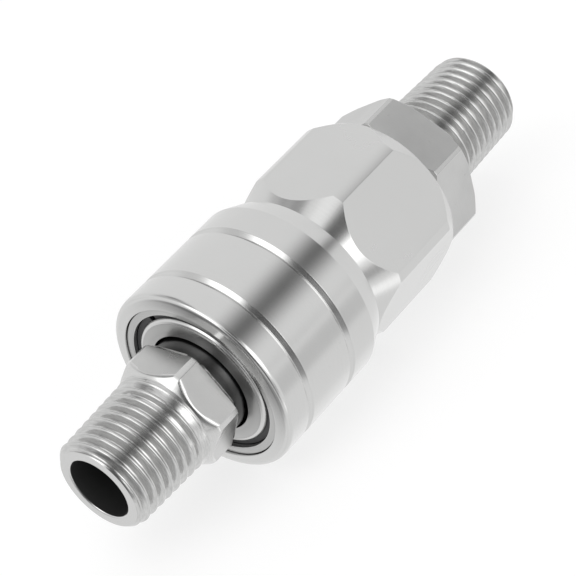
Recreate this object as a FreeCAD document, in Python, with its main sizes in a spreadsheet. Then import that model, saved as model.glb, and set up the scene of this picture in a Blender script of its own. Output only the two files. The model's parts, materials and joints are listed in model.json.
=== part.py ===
import FreeCAD, Part
import math
import os
import Sketcher

# Quick coupler for quarter-inch hydraulic lines, drawn coupled.
# The axis is X: the plug's pipe thread starts at x = 0 and the socket's adapter ends the part.
# One flat of the socket's hexagon faces up, along +Z. Millimetres and degrees.

doc = FreeCAD.newDocument("quick_coupler")

# Driving sizes
DRIVING = [
    # right-hand taper pipe thread at both ends, measured over its crests
    ("thread_small_d", 12.7),
    ("thread_taper", 16),
    ("thread_pitch", 1.337),
    ("thread_angle", 55),
    ("thread_runout_turns", 2),
    ("thread_tip_bevel", 0.75),
    ("thread_tip_length", 0.8),
    # plug
    ("plug_bore_d", 8.4),
    ("plug_thread_length", 11.5),
    ("plug_hex_width", 14),
    ("plug_hex_corner_cut", 0.03),
    ("plug_hex_length", 5.3),
    ("plug_hex_bevel_angle", 45),
    ("plug_hex_back_bevel", 0.35),
    ("plug_hex_back_bevel_depth", 0.6),
    ("plug_turn", -2),
    ("plug_shank_d", 14),
    ("plug_nose_d", 11.2),
    ("plug_shoulder_length", 0.7),
    ("plug_nose_bevel", 0.5),
    ("plug_orifice_d", 6),
    ("plug_orifice_length", 1.3),
    # lip and mouth of the socket
    ("mouth_gap", 2.4),
    ("mouth_clearance", 0.15),
    ("mouth_flare", 1.45),
    ("lip_round", 0.35),
    ("lip_thickness", 0.6),
    ("body_wall", 2.21),
    # snap ring and stop washer
    ("ring_thickness", 0.9),
    ("ring_proud", 0.69),
    ("ring_groove_depth", 0.61),
    ("ring_play", 0.03),
    ("ring_split_angle", 58),
    ("ring_split_sweep", 6),
    ("washer_clearance", 0.08),
    ("washer_rim", 0.97),
    ("washer_web", 0.9),
    ("washer_proud", 0.1),
    # locking balls
    ("ball_d", 3.175),
    ("ball_count", 6),
    ("ball_setback", 5),
    ("ball_play", 0.03),
    ("ball_groove_play", 0.09),
    ("ball_groove_floor", 1.2),
    ("ball_hole_play", 0.06),
    ("ball_hole_lip", 0.06),
    ("drill_overrun", 1.1),
    # sleeve and the room for its spring
    ("sleeve_rim", 1.92),
    ("sleeve_overhang", 0.4),
    ("sleeve_lap", 3.2),
    ("sleeve_round", 0.7),
    ("sleeve_tail_drop", 0.8),
    ("sleeve_tail_length", 2.9),
    ("sleeve_tail_flare", 0.67),
    ("sleeve_tail_flare_length", 1.3),
    ("sleeve_tail_overrun", 1.05),
    ("sleeve_play", 0.08),
    ("sleeve_travel", 2.8),
    ("sleeve_land_length", 3),
    ("grip_groove_width", 1.1),
    ("grip_groove_depth", 0.5),
    ("front_groove_setback", 4.6),
    ("rear_groove_setback", 13),
    ("spring_room", 1.64),
    ("shoulder_setback", 11.8),
    # hexagon of the socket body
    ("body_hex_width", 22.2),
    ("body_hex_corner_cut", 0.32),
    ("body_hex_length", 15.85),
    ("body_hex_bevel_angle", 28),
    ("body_neck_round", 1.2),
    # nose seal of the socket
    ("throat_setback", 4.3),
    ("throat_cone", 0.7),
    ("seal_lead", 1.6),
    ("seal_section", 1.9),
    ("seal_play", 0.05),
    ("backup_width", 1.2),
    ("nose_clearance", 0.1),
    ("nose_land", 1.45),
    ("stop_gap", 0.2),
    # valves
    ("socket_orifice_d", 6.4),
    ("socket_orifice_length", 1.3),
    ("chamber_d", 12.8),
    ("valve_lift", 1.5),
    ("valve_travel", 1.2),
    ("valve_seal_proud", 0.2),
    ("valve_pin_d", 3.4),
    ("plug_poppet_gap", 0.45),
    ("plug_poppet_rim", 1.5),
    ("plug_seal_section", 1.05),
    ("plug_seal_setback", 0.95),
    ("plug_boss_d", 4.4),
    ("plug_stem_d", 2.6),
    ("plug_spring_room", 8.15),
    ("socket_poppet_gap", 1.2),
    ("socket_poppet_rim", 1.3),
    ("socket_seal_section", 1.2),
    ("socket_seal_setback", 1.14),
    ("socket_boss_d", 5.2),
    ("socket_stem_d", 3),
    ("boss_length", 1.3),
    ("guide_thickness", 1.5),
    ("guide_play", 0.05),
    ("guide_port_count", 3),
    ("plug_port_wall", 0.375),
    ("socket_port_wall", 1.525),
    ("plug_ring_thickness", 0.8),
    ("plug_ring_depth", 0.5),
    ("plug_ring_width", 1.2),
    ("plug_ring_sweep", 310),
    # springs
    ("sleeve_wire_d", 1.2),
    ("sleeve_coil_pitch", 2.1),
    ("plug_wire_d", 0.7),
    ("plug_coil_gap", 0.4),
    ("plug_coil_pitch", 1.35),
    ("socket_wire_d", 0.9),
    ("socket_coil_gap", 0.65),
    ("socket_coil_pitch", 1.4),
    ("seat_gap", 0.02),
    # adapter
    ("adapter_bore_d", 8.4),
    ("adapter_inlet_flare", 1.05),
    ("adapter_inlet_length", 2.6),
    ("adapter_screw_length", 7.3),
    ("adapter_screw_step", 1.55),
    ("adapter_screw_bevel", 0.8),
    ("adapter_screw_play", 0.05),
    ("adapter_seal_section", 1.55),
    ("adapter_seal_play", 0.03),
    ("adapter_seal_step", 1.05),
    ("adapter_hex_width", 19),
    ("adapter_hex_corner_cut", 0.02),
    ("adapter_hex_face_rise", 0.2),
    ("adapter_hex_bevel", 0.73),
    ("adapter_hex_length", 7),
    ("adapter_turn", 32.5),
    ("relief_depth", 0.42),
    ("relief_length", 1.2),
    ("thread_overrun", 0.4),
    ("adapter_thread_length", 14.4),
]

# Places and radii that follow from the driving sizes
PLACES = [
    # radii, from the plug's shank outwards
    ("thread_small_r", "Sizes.thread_small_d / 2"),
    ("thread_slope", "0.5 / Sizes.thread_taper"),
    ("thread_tip_r", "thread_small_r - Sizes.thread_tip_bevel"),
    ("thread_start_r", "thread_small_r + Sizes.thread_tip_length * thread_slope"),
    ("thread_flat", "Sizes.thread_pitch / 6"),
    ("thread_flank", "tan(Sizes.thread_angle / 2)"),
    ("thread_depth", "(Sizes.thread_pitch / 2 - thread_flat) / thread_flank"),
    ("thread_tool_half", "(Sizes.thread_pitch - thread_flat / 4) / 2"),
    ("thread_tool_height", "(thread_tool_half - thread_flat / 2) / thread_flank"),
    ("plug_bore_r", "Sizes.plug_bore_d / 2"),
    ("plug_corner_r", "Sizes.plug_hex_width / sqrt(3) - Sizes.plug_hex_corner_cut"),
    ("shank_r", "Sizes.plug_shank_d / 2"),
    ("nose_r", "Sizes.plug_nose_d / 2"),
    ("mouth_r", "shank_r + Sizes.mouth_clearance"),
    ("body_r", "mouth_r + Sizes.body_wall"),
    ("ring_groove_r", "body_r - Sizes.ring_groove_depth"),
    ("ring_r", "body_r + Sizes.ring_proud"),
    ("washer_recess_r", "ring_r + Sizes.washer_clearance"),
    ("washer_r", "washer_recess_r + Sizes.washer_rim"),
    ("washer_seat_r", "washer_r + Sizes.sleeve_play"),
    ("sleeve_r", "washer_seat_r + Sizes.sleeve_rim"),
    ("land_r", "body_r + Sizes.sleeve_play"),
    ("neck_r", "body_r + Sizes.spring_room"),
    ("spring_room_r", "neck_r + Sizes.sleeve_play"),
    ("body_face_r", "Sizes.body_hex_width / 2"),
    ("body_corner_r", "Sizes.body_hex_width / sqrt(3) - Sizes.body_hex_corner_cut"),
    ("seal_bore_r", "nose_r + Sizes.nose_clearance"),
    ("seal_width", "Sizes.seal_section + 2 * Sizes.seal_play"),
    ("seal_floor_r", "nose_r + seal_width"),
    ("chamber_r", "Sizes.chamber_d / 2"),
    ("adapter_bore_r", "Sizes.adapter_bore_d / 2"),
    ("adapter_screw_r", "chamber_r + Sizes.adapter_screw_step"),
    ("adapter_hole_r", "adapter_screw_r + Sizes.adapter_screw_play"),
    ("adapter_seal_r", "adapter_screw_r - Sizes.adapter_seal_step"),
    ("adapter_seal_width", "Sizes.adapter_seal_section + 2 * Sizes.adapter_seal_play"),
    ("seal_pocket_r", "adapter_seal_r + adapter_seal_width"),
    ("adapter_face_r", "Sizes.adapter_hex_width / 2 + Sizes.adapter_hex_face_rise"),
    ("adapter_corner_r", "Sizes.adapter_hex_width / sqrt(3) - Sizes.adapter_hex_corner_cut"),
    ("relief_r", "thread_small_r - Sizes.relief_depth"),
    ("adapter_thread_r", "thread_small_r + Sizes.adapter_thread_length * thread_slope"),
    # stations along the axis, from the plug's pipe end to the balls
    ("hex_x", "Sizes.plug_thread_length"),
    ("thread_at_hex_r", "thread_small_r + hex_x * thread_slope"),
    ("thread_lead", "-Sizes.thread_pitch"),
    ("plug_thread_turns", "floor(hex_x / Sizes.thread_pitch - 0.5) + 1 - Sizes.thread_runout_turns"),
    ("runout_x", "thread_lead + plug_thread_turns * Sizes.thread_pitch"),
    ("runout_slope", "thread_slope + thread_depth / (Sizes.thread_runout_turns * Sizes.thread_pitch)"),
    ("hex_back_x", "hex_x + Sizes.plug_hex_length"),
    ("lip_x", "hex_back_x + Sizes.mouth_gap"),
    ("ring_x", "lip_x + Sizes.lip_thickness"),
    ("ring_back_x", "ring_x + Sizes.ring_thickness"),
    ("washer_x", "lip_x - Sizes.washer_proud"),
    ("washer_floor_x", "ring_back_x + Sizes.seat_gap"),
    ("washer_back_x", "washer_floor_x + Sizes.washer_web"),
    ("washer_seat_x", "washer_back_x + Sizes.seat_gap"),
    ("sleeve_x", "lip_x - Sizes.sleeve_overhang"),
    ("ball_x", "lip_x + Sizes.ball_setback"),
    # locking balls: at rest under the sleeve's land, and out of the plug's way at full travel
    ("ball_r", "Sizes.ball_d / 2"),
    ("ball_rest_r", "land_r - Sizes.ball_play - ball_r"),
    ("ball_travel", "mouth_r + Sizes.ball_play + ball_r - ball_rest_r"),
    ("ramp_slope", "ball_travel / Sizes.sleeve_travel"),
    ("ramp_over_ball_r", "ball_rest_r + (ball_r + Sizes.ball_play) * sqrt(1 + ramp_slope^2)"),
    ("ramp_start_r", "ramp_over_ball_r + (ball_x - washer_seat_x) * ramp_slope"),
    ("land_x", "ball_x + (ramp_over_ball_r - land_r) / ramp_slope"),
    ("land_back_x", "land_x + Sizes.sleeve_land_length"),
    ("ball_groove_r", "ball_rest_r - ball_r - Sizes.ball_groove_play"),
    ("ball_groove_half", "Sizes.ball_groove_floor / 2"),
    ("ball_groove_rise", "shank_r - ball_groove_r"),
    # stations behind the balls
    ("throat_x", "ball_x + Sizes.throat_setback"),
    ("seal_x", "throat_x + Sizes.seal_lead"),
    ("backup_x", "seal_x + seal_width"),
    ("seal_back_x", "backup_x + Sizes.backup_width + Sizes.seal_play"),
    ("stop_x", "seal_back_x + Sizes.nose_land"),
    ("nose_x", "stop_x - Sizes.stop_gap"),
    ("meet_x", "nose_x + Sizes.stop_gap / 2"),
    ("orifice_back_x", "stop_x + Sizes.socket_orifice_length"),
    ("seat_back_x", "orifice_back_x + chamber_r - Sizes.socket_orifice_d / 2"),
    ("shoulder_x", "ball_x + Sizes.shoulder_setback"),
    ("sleeve_back_x", "shoulder_x + Sizes.sleeve_lap"),
    ("tail_x", "sleeve_back_x - Sizes.sleeve_tail_length"),
    ("hexagon_x", "sleeve_back_x + Sizes.sleeve_travel - Sizes.sleeve_tail_overrun"),
    ("body_back_x", "hexagon_x + Sizes.body_hex_length"),
    ("adapter_seal_x", "body_back_x - adapter_seal_width"),
    ("guide_back_x", "body_back_x - Sizes.adapter_screw_length"),
    ("guide_x", "guide_back_x - Sizes.guide_thickness"),
    ("adapter_hex_back_x", "body_back_x + Sizes.adapter_hex_length"),
    ("adapter_thread_x", "adapter_hex_back_x + Sizes.relief_length"),
    ("end_x", "adapter_thread_x + Sizes.adapter_thread_length"),
    ("adapter_thread_stop_x", "adapter_thread_x - Sizes.thread_overrun"),
    ("adapter_thread_turns", "(end_x - thread_lead - adapter_thread_stop_x) / Sizes.thread_pitch"),
    # valve seats are 45 degree cones; a poppet's own cone stands back from its seat by the lift
    ("plug_poppet_r", "plug_bore_r - Sizes.plug_poppet_gap"),
    ("plug_seat_x", "nose_x - Sizes.plug_orifice_length"),
    ("plug_cone_sum", "plug_seat_x + Sizes.plug_orifice_d / 2 - Sizes.valve_lift"),
    ("plug_meet_x", "meet_x - Sizes.seat_gap"),
    ("plug_pin_x", "plug_cone_sum - Sizes.valve_pin_d / 2"),
    ("plug_rim_x", "plug_cone_sum - plug_poppet_r"),
    ("plug_rim_back_x", "plug_rim_x - Sizes.plug_poppet_rim"),
    ("plug_seal_x", "plug_rim_x + Sizes.plug_seal_setback"),
    ("plug_seal_sink", "(Sizes.plug_seal_section / 2 - Sizes.valve_seal_proud) * sqrt(2)"),
    ("plug_seal_r", "plug_poppet_r - Sizes.plug_seal_setback - plug_seal_sink"),
    ("plug_guide_back_x", "plug_rim_back_x - Sizes.plug_spring_room"),
    ("plug_guide_x", "plug_guide_back_x - Sizes.guide_thickness"),
    ("plug_guide_r", "plug_bore_r - Sizes.guide_play"),
    ("plug_tail_x", "plug_guide_x - Sizes.valve_travel / 2"),
    ("plug_coil_r", "(Sizes.plug_boss_d + Sizes.plug_wire_d) / 2 + Sizes.plug_coil_gap"),
    ("plug_ring_x", "plug_guide_x - Sizes.plug_ring_thickness - Sizes.ring_play"),
    ("plug_ring_r", "plug_bore_r + Sizes.plug_ring_depth"),
    ("plug_ring_bore_r", "plug_ring_r - Sizes.plug_ring_width"),
    ("socket_poppet_r", "chamber_r - Sizes.socket_poppet_gap"),
    ("socket_cone_sum", "orifice_back_x - Sizes.socket_orifice_d / 2 + Sizes.valve_lift"),
    ("socket_meet_x", "meet_x + Sizes.seat_gap"),
    ("socket_pin_x", "socket_cone_sum + Sizes.valve_pin_d / 2"),
    ("socket_rim_x", "socket_cone_sum + socket_poppet_r"),
    ("socket_rim_back_x", "socket_rim_x + Sizes.socket_poppet_rim"),
    ("socket_seal_x", "socket_rim_x - Sizes.socket_seal_setback"),
    ("socket_seal_sink", "(Sizes.socket_seal_section / 2 - Sizes.valve_seal_proud) * sqrt(2)"),
    ("socket_seal_r", "socket_poppet_r - Sizes.socket_seal_setback - socket_seal_sink"),
    ("socket_tail_x", "guide_back_x + Sizes.valve_travel / 2"),
    ("socket_coil_r", "(Sizes.socket_boss_d + Sizes.socket_wire_d) / 2 + Sizes.socket_coil_gap"),
]


def fill_sheet(name, rows, lead):
    """A sheet with one named value a row."""
    sheet = doc.addObject("Spreadsheet::Sheet", name)
    for row, (alias, value) in enumerate(rows, start=1):
        sheet.set("A%d" % row, alias)
        sheet.set("B%d" % row, lead + str(value))
        sheet.setAlias("B%d" % row, alias)
    doc.recompute()
    return sheet


fill_sheet("Sizes", DRIVING, "")
places = fill_sheet("Places", PLACES, "=")


def value_of(text):
    """The number that an expression on the two sheets gives."""
    return float(places.evalExpression(text))


def origin_plane(body, role):
    """One of a body's own origin planes or axes."""
    return next(feature for feature in body.Origin.OriginFeatures if feature.Role == role)


def new_sketch(body, name, plane):
    """A sketch on one of the body's own planes."""
    sketch = body.newObject("Sketcher::SketchObject", name)
    sketch.AttachmentSupport = [(origin_plane(body, plane), "")]
    sketch.MapMode = "FlatFace"
    return sketch


def drive(sketch, constraint, text):
    """Add a dimension and bind it to its expression."""
    index = sketch.addConstraint(constraint)
    sketch.setExpression("Constraints[%d]" % index, text)


def outline(sketch, corners):
    """A closed outline whose corners are given as pairs of expressions: along the axis, and out from it."""
    spots = [FreeCAD.Vector(value_of(x), value_of(r), 0) for x, r in corners]
    count = len(corners)
    for i in range(count):
        sketch.addGeometry(Part.LineSegment(spots[i], spots[(i + 1) % count]))
    for i in range(count):
        sketch.addConstraint(Sketcher.Constraint("Coincident", i, 2, (i + 1) % count, 1))
    for i, (x, r) in enumerate(corners):
        for kind, axis, text in (("DistanceX", -2, x), ("DistanceY", -1, r)):
            if text == "0":
                sketch.addConstraint(Sketcher.Constraint("PointOnObject", i, 1, axis))
            else:
                drive(sketch, Sketcher.Constraint(kind, -1, 1, i, 1, value_of(text)), text)


def turned(label, corners, sweep="360"):
    """A piece turned on a lathe: its half section revolved about the X axis."""
    body = doc.addObject("PartDesign::Body", label)
    sketch = new_sketch(body, label + "_section", "XY_Plane")
    outline(sketch, corners)
    turning = body.newObject("PartDesign::Revolution", label + "_turning")
    turning.Profile = sketch
    turning.ReferenceAxis = (sketch, ["H_Axis"])
    turning.setExpression("Angle", sweep)
    doc.recompute()
    return body


def rounded(body, x, r, radius):
    """Round the circular edge that stands at x with radius r."""
    here, reach, near = value_of(x), value_of(r), 1e-4
    names = []
    for number, edge in enumerate(body.Shape.Edges, start=1):
        curve = edge.Curve
        if not isinstance(curve, Part.Circle):
            continue
        if abs(curve.Center.x - here) < near and abs(curve.Radius - reach) < near:
            names.append("Edge%d" % number)
    tip = body.Tip
    fillet = body.newObject("PartDesign::Fillet", body.Label + "_fillet")
    fillet.Base = (tip, names)
    fillet.setExpression("Radius", radius)
    doc.recompute()


def wrench_flats(body, x, length, width, corner_r, turn):
    """Six flats milled on a turned blank: all that lies outside the hexagon is cut away."""
    sketch = new_sketch(body, body.Label + "_flats", "YZ_Plane")
    centre, axis = FreeCAD.Vector(), FreeCAD.Vector(0, 0, 1)
    sketch.AttachmentOffset = FreeCAD.Placement(centre, FreeCAD.Rotation(axis, 0))
    sketch.setExpression("AttachmentOffset.Base.z", x)
    sketch.setExpression("AttachmentOffset.Rotation.Angle", turn)
    reach = value_of(width) / math.sqrt(3)
    clear_of_stock = "2 * " + corner_r
    corners = [FreeCAD.Vector(reach * math.cos(k * math.pi / 3), reach * math.sin(k * math.pi / 3), 0)
               for k in range(6)]
    for k in range(6):
        sketch.addGeometry(Part.LineSegment(corners[k], corners[(k + 1) % 6]))
    guide = sketch.addGeometry(Part.Circle(centre, axis, reach))
    sketch.toggleConstruction(guide)
    cutter = sketch.addGeometry(Part.Circle(centre, axis, value_of(clear_of_stock)))
    for k in range(6):
        sketch.addConstraint(Sketcher.Constraint("Coincident", k, 2, (k + 1) % 6, 1))
        sketch.addConstraint(Sketcher.Constraint("PointOnObject", k, 1, guide))
    for k in range(5):
        sketch.addConstraint(Sketcher.Constraint("Equal", k, k + 1))
    sketch.addConstraint(Sketcher.Constraint("PointOnObject", 0, 1, -1))
    sketch.addConstraint(Sketcher.Constraint("Coincident", guide, 3, -1, 1))
    sketch.addConstraint(Sketcher.Constraint("Coincident", cutter, 3, -1, 1))
    drive(sketch, Sketcher.Constraint("Radius", guide, reach), width + " / sqrt(3)")
    drive(sketch, Sketcher.Constraint("Radius", cutter, value_of(clear_of_stock)), clear_of_stock)
    milling = body.newObject("PartDesign::Pocket", body.Label + "_milling")
    milling.Profile = sketch
    milling.setExpression("Length", length)
    milling.Reversed = True
    doc.recompute()


def grooved(body, name, corners):
    """A ring cut into the piece, given by the outline of its section."""
    sketch = new_sketch(body, body.Label + "_" + name, "XY_Plane")
    outline(sketch, corners)
    cut = body.newObject("PartDesign::Groove", body.Label + "_" + name + "_cut")
    cut.Profile = sketch
    cut.ReferenceAxis = (sketch, ["H_Axis"])
    cut.Angle = 360
    doc.recompute()


def threaded(body, name, tip, way, from_tip, turns, slope):
    """Cut a right-hand pipe thread's groove; from its start on, its root rises by the slope.

    The way is the sign along the axis, from the tip into the piece.
    """
    sketch = new_sketch(body, body.Label + "_" + name, "XY_Plane")
    x = "%s %s (%s)" % (tip, way, from_tip)
    root = "Places.thread_small_r + (%s) * Places.thread_slope - Places.thread_depth" % from_tip
    top = root + " + Places.thread_tool_height"
    outline(sketch, [
        (x + " - Places.thread_flat / 2", root), (x + " + Places.thread_flat / 2", root),
        (x + " + Places.thread_tool_half", top), (x + " - Places.thread_tool_half", top)])
    groove = body.newObject("PartDesign::SubtractiveHelix", body.Label + "_" + name + "_cut")
    groove.Profile = sketch
    groove.ReferenceAxis = (sketch, ["H_Axis"])
    groove.Mode = "pitch-turns-angle"
    groove.Reversed = way == "-"
    groove.setExpression("Pitch", "Sizes.thread_pitch")
    groove.setExpression("Turns", turns)
    groove.setExpression("Angle", "atan(%s)" % slope)
    doc.recompute()


def repeated(body, cut, count):
    """Repeat a cut evenly about the X axis."""
    pattern = body.newObject("PartDesign::PolarPattern", body.Label + "_pattern")
    pattern.Originals = [cut]
    pattern.Axis = (origin_plane(body, "X_Axis"), [""])
    pattern.Angle = 360
    pattern.setExpression("Occurrences", count)
    body.Tip = pattern
    doc.recompute()


def seal_ring(label, x, mean_r, section):
    """A round-section ring about the X axis."""
    ring = doc.addObject("Part::Torus", label)
    ring.Placement = FreeCAD.Placement(FreeCAD.Vector(), FreeCAD.Rotation(FreeCAD.Vector(0, 1, 0), 90))
    ring.setExpression("Placement.Base.x", x)
    ring.setExpression("Radius1", mean_r)
    ring.setExpression("Radius2", section + " / 2")


def coil_spring(label, x, back_x, mean_r, wire_d, pitch):
    """A compression spring between two seats, with both ends ground flat."""
    body = doc.addObject("PartDesign::Body", label)
    sketch = new_sketch(body, label + "_wire", "XY_Plane")
    wire = sketch.addGeometry(Part.Circle(FreeCAD.Vector(value_of(x), value_of(mean_r), 0),
                                          FreeCAD.Vector(0, 0, 1), value_of(wire_d) / 2))
    drive(sketch, Sketcher.Constraint("Radius", wire, value_of(wire_d) / 2), wire_d + " / 2")
    drive(sketch, Sketcher.Constraint("DistanceX", -1, 1, wire, 3, value_of(x)), x)
    drive(sketch, Sketcher.Constraint("DistanceY", -1, 1, wire, 3, value_of(mean_r)), mean_r)
    coil = body.newObject("PartDesign::AdditiveHelix", label + "_coil")
    coil.Profile = sketch
    coil.ReferenceAxis = (sketch, ["H_Axis"])
    coil.Mode = "height-turns-angle"
    coil.setExpression("Height", "%s - (%s)" % (back_x, x))
    coil.setExpression("Turns", "(%s - (%s)) / %s" % (back_x, x, pitch))
    doc.recompute()
    inner, outer = mean_r + " - " + wire_d, mean_r + " + " + wire_d
    for name, flat, beyond in (("front", x, x + " - " + wire_d), ("back", back_x, back_x + " + " + wire_d)):
        grooved(body, name, [(flat, inner), (beyond, inner), (beyond, outer), (flat, outer)])


def guide_disc(label, x, back_x, disc_r, stem_d, port_wall):
    """A drilled disc that carries a poppet's stem and lets the oil past."""
    hole_r = stem_d + " / 2 + Sizes.guide_play"
    disc = turned(label, [(x, hole_r), (x, disc_r), (back_x, disc_r), (back_x, hole_r)])
    sketch = new_sketch(disc, label + "_port", "YZ_Plane")
    sketch.AttachmentOffset = FreeCAD.Placement(FreeCAD.Vector(), FreeCAD.Rotation())
    sketch.setExpression("AttachmentOffset.Base.z", x)
    between = "(%s + %s / 2) / 2" % (disc_r, stem_d)
    port_r = "(%s - %s / 2) / 2 - %s" % (disc_r, stem_d, port_wall)
    hole = sketch.addGeometry(Part.Circle(FreeCAD.Vector(value_of(between), 0, 0),
                                          FreeCAD.Vector(0, 0, 1), value_of(port_r)))
    drive(sketch, Sketcher.Constraint("Radius", hole, value_of(port_r)), port_r)
    drive(sketch, Sketcher.Constraint("DistanceX", -1, 1, hole, 3, value_of(between)), between)
    sketch.addConstraint(Sketcher.Constraint("PointOnObject", hole, 3, -1))
    port = disc.newObject("PartDesign::Pocket", label + "_drilling")
    port.Profile = sketch
    port.setExpression("Length", "%s - %s" % (back_x, x))
    port.Reversed = True
    doc.recompute()
    repeated(disc, port, "Sizes.guide_port_count")


def poppet(line, ahead, behind):
    """A valve poppet: push pin, 45 degree cone with a seal groove, spring boss and guided stem.

    The line is plug or socket; ahead and behind are the signs along the axis, towards the pin and back.
    """
    pin_r = "Sizes.valve_pin_d / 2"
    boss_r, stem_r = "Sizes.%s_boss_d / 2" % line, "Sizes.%s_stem_d / 2" % line
    meet, pin, rim, rim_back, seal, tail = (
        "Places.%s_%s_x" % (line, station) for station in ("meet", "pin", "rim", "rim_back", "seal", "tail"))
    head_r, boss = "Places.%s_poppet_r" % line, "%s %s Sizes.boss_length" % (rim_back, behind)
    half = "(Sizes.%s_seal_section / 2 + Sizes.seal_play)" % line
    front, back = "%s %s %s" % (seal, ahead, half), "%s %s %s" % (seal, behind, half)
    front_r = "%s - Sizes.%s_seal_setback - %s" % (head_r, line, half)
    back_r = "%s - Sizes.%s_seal_setback + %s" % (head_r, line, half)
    floor_r = "Places.%s_seal_r - %s" % (line, half)
    turned(line + "_poppet", [
        (meet, "0"), (meet, pin_r), (pin, pin_r), (front, front_r), (front, floor_r), (back, floor_r),
        (back, back_r), (rim, head_r), (rim_back, head_r), (rim_back, boss_r), (boss, boss_r),
        (boss, stem_r), (tail, stem_r), (tail, "0")])
    seal_ring(line + "_poppet_seal", seal, "Places.%s_seal_r" % line, "Sizes.%s_seal_section" % line)


# Plug: pipe thread, hexagon, shank with the ball groove, sealing nose, straight bore with a valve seat
plug_bevel = "(Places.plug_corner_r - Places.thread_at_hex_r) / tan(Sizes.plug_hex_bevel_angle)"
plug_body = turned("plug_body", [
    ("0", "Places.plug_bore_r"), ("0", "Places.thread_tip_r"),
    ("Sizes.thread_tip_length", "Places.thread_start_r"), ("Places.hex_x", "Places.thread_at_hex_r"),
    ("Places.hex_x + " + plug_bevel, "Places.plug_corner_r"),
    ("Places.hex_back_x - Sizes.plug_hex_back_bevel", "Places.plug_corner_r"),
    ("Places.hex_back_x", "Places.plug_corner_r - Sizes.plug_hex_back_bevel_depth"),
    ("Places.hex_back_x", "Places.shank_r"),
    ("Places.ball_x - Places.ball_groove_half - Places.ball_groove_rise", "Places.shank_r"),
    ("Places.ball_x - Places.ball_groove_half", "Places.ball_groove_r"),
    ("Places.ball_x + Places.ball_groove_half", "Places.ball_groove_r"),
    ("Places.ball_x + Places.ball_groove_half + Places.ball_groove_rise", "Places.shank_r"),
    ("Places.throat_x - Sizes.throat_cone - Sizes.plug_shoulder_length - Sizes.stop_gap", "Places.shank_r"),
    ("Places.throat_x - Sizes.throat_cone - Sizes.stop_gap", "Places.nose_r"),
    ("Places.nose_x - Sizes.plug_nose_bevel", "Places.nose_r"),
    ("Places.nose_x", "Places.nose_r - Sizes.plug_nose_bevel"),
    ("Places.nose_x", "Sizes.plug_orifice_d / 2"),
    ("Places.plug_seat_x", "Sizes.plug_orifice_d / 2"),
    ("Places.plug_seat_x - (Places.plug_bore_r - Sizes.plug_orifice_d / 2)", "Places.plug_bore_r"),
    ("Places.plug_guide_x", "Places.plug_bore_r"),
    ("Places.plug_guide_x", "Places.plug_ring_r + Sizes.ring_play"),
    ("Places.plug_ring_x - Sizes.ring_play", "Places.plug_ring_r + Sizes.ring_play"),
    ("Places.plug_ring_x - Sizes.ring_play", "Places.plug_bore_r")])
wrench_flats(plug_body, "Places.hex_x", "Sizes.plug_hex_length", "Sizes.plug_hex_width",
             "Places.plug_corner_r", "Sizes.plug_turn")
threaded(plug_body, "thread", "0", "+", "Places.thread_lead", "Places.plug_thread_turns", "Places.thread_slope")
threaded(plug_body, "runout", "0", "+", "Places.runout_x", "Sizes.thread_runout_turns", "Places.runout_slope")

# Plug valve: poppet and its seal, the spring, the drilled guide and the snap ring that holds the guide
poppet("plug", "+", "-")
guide_disc("plug_guide", "Places.plug_guide_x", "Places.plug_guide_back_x", "Places.plug_guide_r",
           "Sizes.plug_stem_d", "Sizes.plug_port_wall")
coil_spring("plug_spring", "Places.plug_guide_back_x + Sizes.seat_gap",
            "Places.plug_rim_back_x - Sizes.seat_gap",
            "Places.plug_coil_r", "Sizes.plug_wire_d", "Sizes.plug_coil_pitch")
turned("plug_guide_ring", [
    ("Places.plug_ring_x", "Places.plug_ring_bore_r"), ("Places.plug_ring_x", "Places.plug_ring_r"),
    ("Places.plug_ring_x + Sizes.plug_ring_thickness", "Places.plug_ring_r"),
    ("Places.plug_ring_x + Sizes.plug_ring_thickness", "Places.plug_ring_bore_r")], "Sizes.plug_ring_sweep")

# Socket body: flared mouth, lip and snap ring groove, spring shoulder, neck and hexagon
front_bevel = "(Places.body_corner_r - Places.neck_r) / tan(Sizes.body_hex_bevel_angle)"
back_bevel = "(Places.body_corner_r - Places.body_face_r) / tan(Sizes.body_hex_bevel_angle)"
socket_body = turned("socket_body", [
    ("Places.lip_x + Sizes.mouth_flare", "Places.mouth_r"),
    ("Places.lip_x", "Places.mouth_r + Sizes.mouth_flare"), ("Places.lip_x", "Places.body_r"),
    ("Places.ring_x - Sizes.ring_play", "Places.body_r"),
    ("Places.ring_x - Sizes.ring_play", "Places.ring_groove_r"),
    ("Places.ring_back_x + Sizes.ring_play", "Places.ring_groove_r"),
    ("Places.ring_back_x + Sizes.ring_play", "Places.body_r"),
    ("Places.shoulder_x", "Places.body_r"), ("Places.shoulder_x", "Places.neck_r"),
    ("Places.hexagon_x", "Places.neck_r"), ("Places.hexagon_x + " + front_bevel, "Places.body_corner_r"),
    ("Places.body_back_x - " + back_bevel, "Places.body_corner_r"),
    ("Places.body_back_x", "Places.body_face_r"),
    ("Places.body_back_x", "Places.seal_pocket_r"), ("Places.adapter_seal_x", "Places.seal_pocket_r"),
    ("Places.adapter_seal_x", "Places.adapter_hole_r"), ("Places.guide_x", "Places.adapter_hole_r"),
    ("Places.guide_x", "Places.chamber_r"), ("Places.seat_back_x", "Places.chamber_r"),
    ("Places.orifice_back_x", "Sizes.socket_orifice_d / 2"), ("Places.stop_x", "Sizes.socket_orifice_d / 2"),
    ("Places.stop_x", "Places.seal_bore_r"), ("Places.seal_back_x", "Places.seal_bore_r"),
    ("Places.seal_back_x", "Places.seal_floor_r"), ("Places.seal_x", "Places.seal_floor_r"),
    ("Places.seal_x", "Places.seal_bore_r"), ("Places.throat_x", "Places.seal_bore_r"),
    ("Places.throat_x - Sizes.throat_cone", "Places.mouth_r")])
wrench_flats(socket_body, "Places.hexagon_x", "Sizes.body_hex_length", "Sizes.body_hex_width",
             "Places.body_corner_r", "0")
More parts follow.
